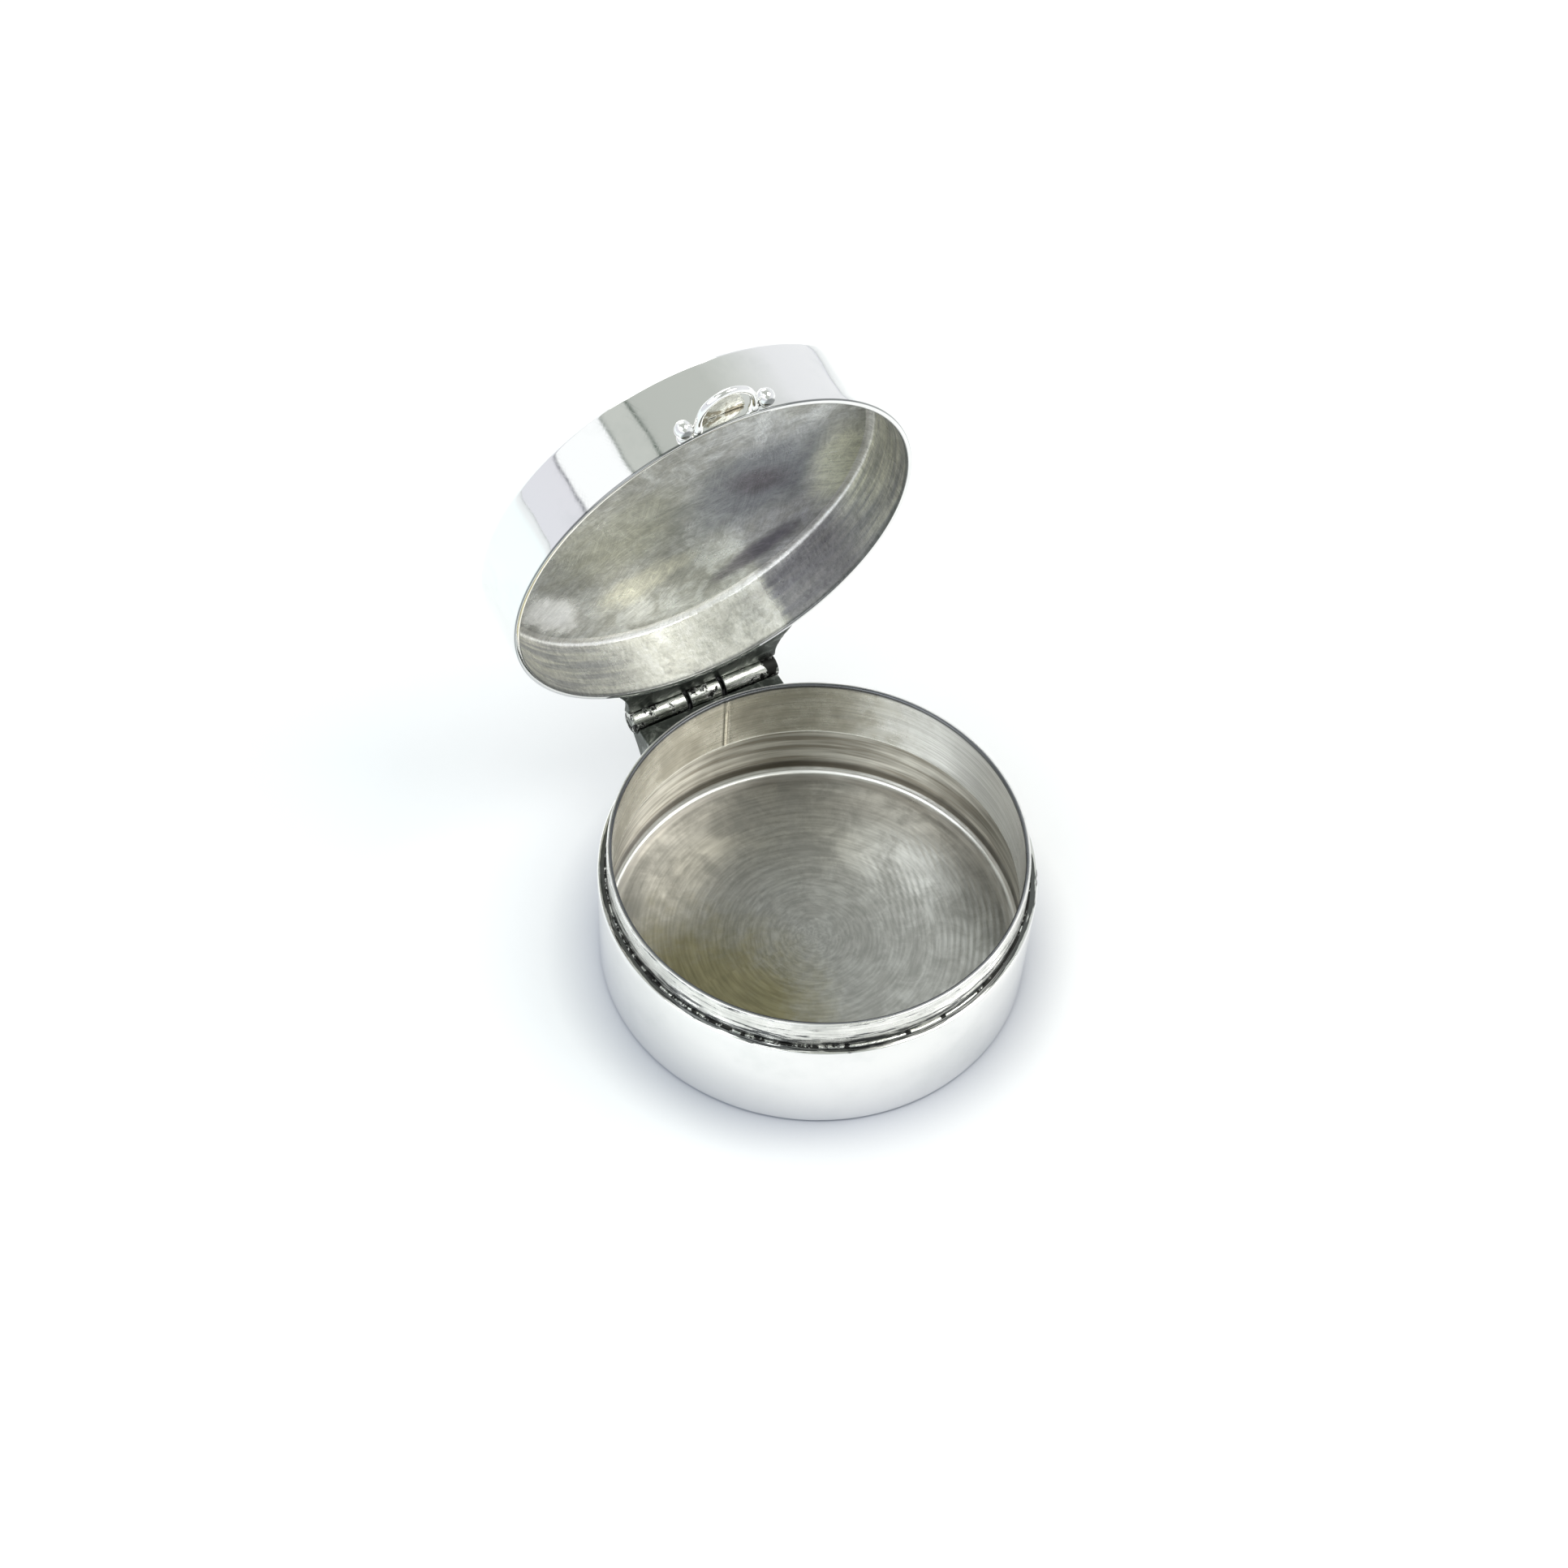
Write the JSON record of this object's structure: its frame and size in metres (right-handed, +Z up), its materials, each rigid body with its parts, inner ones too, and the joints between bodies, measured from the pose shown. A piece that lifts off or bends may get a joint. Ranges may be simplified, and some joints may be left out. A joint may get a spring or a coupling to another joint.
{
  "type": "pill box",
  "caption": "Round silver pill box with a shallow hinged lid standing open, an inner collar, an outside hinge barrel and a looped thumb piece.",
  "frame": {"origin": "centre of the flat underside of the base", "axes": "+Z up, the hinge axis along X at the back (+Y), the thumb piece over the front (-Y) when closed"},
  "size_m": [0.03, 0.0372, 0.0435],
  "materials": {
    "silver_polished": "polished silver, fine scratches",
    "silver_satin": "satin silver, warm tarnish",
    "silver_aged": "worn silver with dark tarnish in the recesses"
  },
  "bodies": {
    "base": {"base_shell": "silver_polished", "base_collar": "silver_satin", "base_hinge_bracket": "silver_aged", "base_knuckle": "silver_aged"},
    "lid": {"lid_shell": "silver_polished", "lid_hinge_bracket": "silver_aged", "lid_knuckle_left": "silver_aged", "lid_knuckle_right": "silver_aged", "hinge_pin": "silver_aged", "thumb_loop": "silver_polished", "thumb_lip": "silver_polished", "thumb_bead_left": "silver_polished", "thumb_bead_right": "silver_polished"}
  },
  "joints": [
    {"name": "lid_hinge", "type": "hinge", "parent": "base", "child": "lid", "pos_m": [0, 0.01705, 0.0086], "axis": [1, 0, 0], "range_deg": [0, 84.4]}
  ]
}
